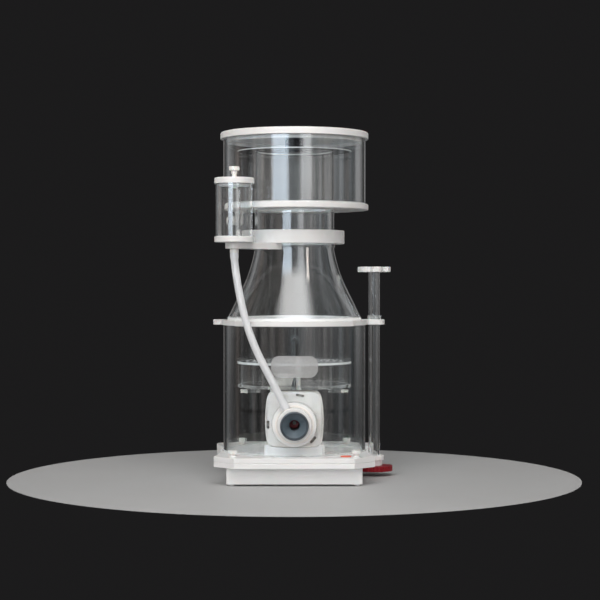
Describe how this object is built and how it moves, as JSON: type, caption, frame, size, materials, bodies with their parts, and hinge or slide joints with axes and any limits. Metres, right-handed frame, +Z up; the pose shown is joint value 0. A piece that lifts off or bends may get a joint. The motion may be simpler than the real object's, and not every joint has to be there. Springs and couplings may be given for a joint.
{
  "type": "protein skimmer",
  "caption": "Free-standing aquarium protein skimmer: clear body tube and cone, round collection cup, needle-wheel pump inside, air silencer and level control rod.",
  "frame": {"origin": "on the floor under the feet, on the axis of the body tube", "axes": "+Z up along the body tube, -Y towards the pump's intake and the air silencer, +X towards the level control"},
  "size_m": [0.3184, 0.3185, 0.606],
  "materials": {
    "white_pvc": "machined white PVC sheet, satin with polished edges",
    "clear_acrylic": "polished clear cast acrylic",
    "pump_cream": "moulded cream-white plastic with a fine spark texture",
    "slate_grey": "moulded slate-grey plastic",
    "red_pvc": "machined red PVC",
    "dark_red_plastic": "moulded dark red plastic",
    "orange_silicone": "orange-red gloss plug",
    "silicone_hose": "translucent bluish-white silicone",
    "white_nylon": "turned white nylon",
    "seal_rubber": "soft grey-white silicone",
    "ceramic": "fine white alumina",
    "magnet": "magnet in a black plastic jacket",
    "screw_steel": "stainless steel",
    "foam_dark": "open-cell dark filter foam",
    "frosted_film": "plain frosted film",
    "black_cable": "black cable sheath"
  },
  "bodies": {
    "base": {"base_feet": "white_pvc", "outlet_box": "white_pvc", "lower_base_plate": "white_pvc", "control_bearing": "white_pvc"},
    "reactor": {"body_flange": "white_pvc", "flange_seal": "seal_rubber", "flange_plug": "orange_silicone", "body_tube": "clear_acrylic", "body_top_flange": "white_pvc", "cone": "clear_acrylic", "locking_collar": "white_pvc", "collar_o_ring": "seal_rubber", "frosted_label": "frosted_film", "pump_shoe": "pump_cream", "pump_cover": "pump_cream", "pump_housing": "pump_cream", "pump_seal": "seal_rubber", "pump_motor": "pump_cream", "motor_screws": "screw_steel", "shaft_bushes": "ceramic", "outlet_socket": "pump_cream", "saddle_ring": "white_pvc", "saddle_gasket": "seal_rubber", "venturi_collar": "white_pvc", "intake_nozzle": "slate_grey", "air_hose": "silicone_hose", "diffuser_floor": "clear_acrylic", "diffuser_drum": "clear_acrylic", "diffuser_plate": "clear_acrylic", "diffuser_lugs": "clear_acrylic", "diffuser_bolt": "white_nylon", "pump_cable": "black_cable", "cable_gland": "black_cable", "cable_connector": "black_cable", "silencer_arm": "white_pvc", "silencer_base": "white_pvc", "silencer_tube": "clear_acrylic", "silencer_core": "clear_acrylic", "hose_fitting": "white_nylon", "control_guide": "clear_acrylic"},
    "rotor": {"needle_wheel": "dark_red_plastic", "magnet_rotor": "magnet", "rotor_shaft": "ceramic"},
    "silencer_top": {"silencer_cap": "white_pvc"},
    "air_valve": {"air_screw": "white_nylon"},
    "cup": {"cup_neck": "clear_acrylic", "neck_lip": "clear_acrylic", "cup_floor": "white_pvc", "cup_wall": "clear_acrylic", "drain_spigot": "white_pvc"},
    "lid": {"cup_lid": "white_pvc", "vent_filter": "foam_dark"},
    "level_control": {"control_knob": "white_pvc", "control_tube": "clear_acrylic", "control_foot": "white_pvc", "regulating_disc": "red_pvc"},
    "thumb_front_left": {"thumb_screw_front_left": "white_nylon"},
    "thumb_front_right": {"thumb_screw_front_right": "white_nylon"},
    "thumb_rear_left": {"thumb_screw_rear_left": "white_nylon"},
    "thumb_rear_right": {"thumb_screw_rear_right": "white_nylon"}
  },
  "joints": [
    {"name": "body_lift", "type": "slide", "parent": "base", "child": "reactor", "axis": [0, 0, 1], "range_m": [0, 0.06]},
    {"name": "cup_lift", "type": "slide", "parent": "reactor", "child": "cup", "axis": [0, 0, 1], "range_m": [0, 0.06]},
    {"name": "lid_lift", "type": "slide", "parent": "cup", "child": "lid", "axis": [0, 0, 1], "range_m": [0, 0.05]},
    {"name": "silencer_cap_lift", "type": "slide", "parent": "reactor", "child": "silencer_top", "axis": [0, 0, 1], "range_m": [0, 0.03]},
    {"name": "air_screw_turn", "type": "hinge", "parent": "silencer_top", "child": "air_valve", "pos_m": [-0.101, -0.133, 0.53], "axis": [0, 0, 1], "continuous": true},
    {"name": "level_control_turn", "type": "hinge", "parent": "base", "child": "level_control", "pos_m": [0.142, 0.03, 0.02], "axis": [0, 0, 1], "range_deg": [0, 120]},
    {"name": "needle_wheel_spin", "type": "hinge", "parent": "reactor", "child": "rotor", "pos_m": [0, -0.04, 0.103], "axis": [0, 1, 0], "continuous": true},
    {"name": "thumb_front_left_turn", "type": "hinge", "parent": "reactor", "child": "thumb_front_left", "pos_m": [-0.104, -0.127, 0.055], "axis": [0, 0, 1], "continuous": true},
    {"name": "thumb_front_right_turn", "type": "hinge", "parent": "reactor", "child": "thumb_front_right", "pos_m": [0.104, -0.127, 0.055], "axis": [0, 0, 1], "continuous": true},
    {"name": "thumb_rear_left_turn", "type": "hinge", "parent": "reactor", "child": "thumb_rear_left", "pos_m": [-0.1, 0.1, 0.055], "axis": [0, 0, 1], "continuous": true},
    {"name": "thumb_rear_right_turn", "type": "hinge", "parent": "reactor", "child": "thumb_rear_right", "pos_m": [0.1, 0.1, 0.055], "axis": [0, 0, 1], "continuous": true}
  ]
}
